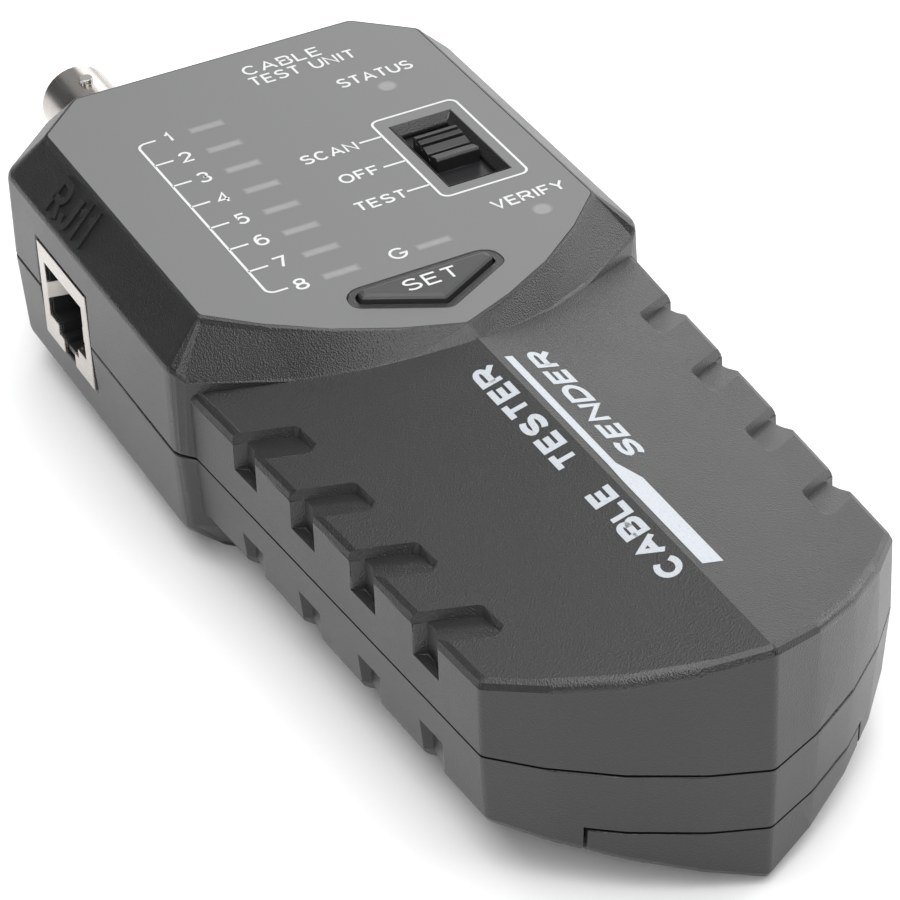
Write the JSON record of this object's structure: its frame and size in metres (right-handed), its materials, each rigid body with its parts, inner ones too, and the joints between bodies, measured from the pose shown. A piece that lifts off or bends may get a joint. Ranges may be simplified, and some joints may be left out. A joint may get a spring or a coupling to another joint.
{
  "type": "cable tester sender unit",
  "caption": "Hand-held cable tester sender: two-half plastic case with V-shaped face, slide switch, set button, modular jack, bayonet jack and sliding battery door.",
  "frame": {"origin": "centre of the bounding box, on the plane the flat back of the head lies on", "axes": "+Z out of the control face, +Y from the handle towards the head and the bayonet jack, +X to the right of the face; the modular jack faces -X"},
  "size_m": [0.064, 0.1579, 0.0349],
  "materials": {
    "casing": "fine spark-eroded grain, satin",
    "label": "flat printed face plate, satin",
    "button": "smooth satin",
    "black_plastic": "satin moulded",
    "nickel": "bright nickel plate",
    "steel": "zinc plated",
    "gold": "gold plate",
    "insulator": "smooth white",
    "board": "green solder mask",
    "lens": "diffused lens",
    "battery_wrap": "printed wrap",
    "red_wire": "insulation"
  },
  "bodies": {
    "case": {"top_shell": "casing", "bottom_shell": "casing", "face_plate": "label", "switch_body": "steel", "tact_switch_body": "black_plastic", "lamp_bar_1": "lens", "lamp_bar_2": "lens", "lamp_bar_3": "lens", "lamp_bar_4": "lens", "lamp_bar_5": "lens", "lamp_bar_6": "lens", "lamp_bar_7": "lens", "lamp_bar_8": "lens", "lamp_bar_ground": "lens", "lamp_status": "lens", "lamp_verify": "lens", "circuit_board": "board", "controller_chip": "black_plastic", "jack_shield": "nickel", "jack_insert": "black_plastic", "jack_contact_1": "gold", "jack_contact_2": "gold", "jack_contact_3": "gold", "jack_contact_4": "gold", "jack_contact_5": "gold", "jack_contact_6": "gold", "jack_contact_7": "gold", "jack_contact_8": "gold", "bayonet_jack_body": "nickel", "bayonet_jack_insulator": "insulator", "bayonet_jack_contact": "gold", "battery": "battery_wrap", "battery_terminal_plus": "nickel", "battery_terminal_minus": "nickel", "battery_snap": "black_plastic", "battery_lead_red": "red_wire", "battery_lead_black": "black_plastic", "case_screw_1": "steel", "case_screw_2": "steel", "case_screw_3": "steel", "case_screw_4": "steel", "board_screw_1": "steel", "board_screw_2": "steel", "board_screw_3": "steel", "board_screw_4": "steel"},
    "knob": {"switch_knob": "black_plastic"},
    "button": {"set_button": "button"},
    "plunger": {"tact_switch_plunger": "button"},
    "door": {"battery_door": "casing"}
  },
  "joints": [
    {"name": "switch_slide", "type": "slide", "parent": "case", "child": "knob", "axis": [0, 1, 0], "range_m": [-0.004, 0.0026]},
    {"name": "set_press", "type": "slide", "parent": "case", "child": "button", "axis": [0, 0, -1], "range_m": [0, 0.0005], "stiffness_N_per_m": 400, "springref_m": -0.0005},
    {"name": "key_press", "type": "slide", "parent": "case", "child": "plunger", "axis": [0, 0, -1], "range_m": [0, 0.0005]},
    {"name": "door_slide", "type": "slide", "parent": "case", "child": "door", "axis": [0, -1, 0], "range_m": [0, 0.066]}
  ],
  "couplings": [
    {"joint": "key_press", "follows": "set_press", "ratio": 1}
  ]
}
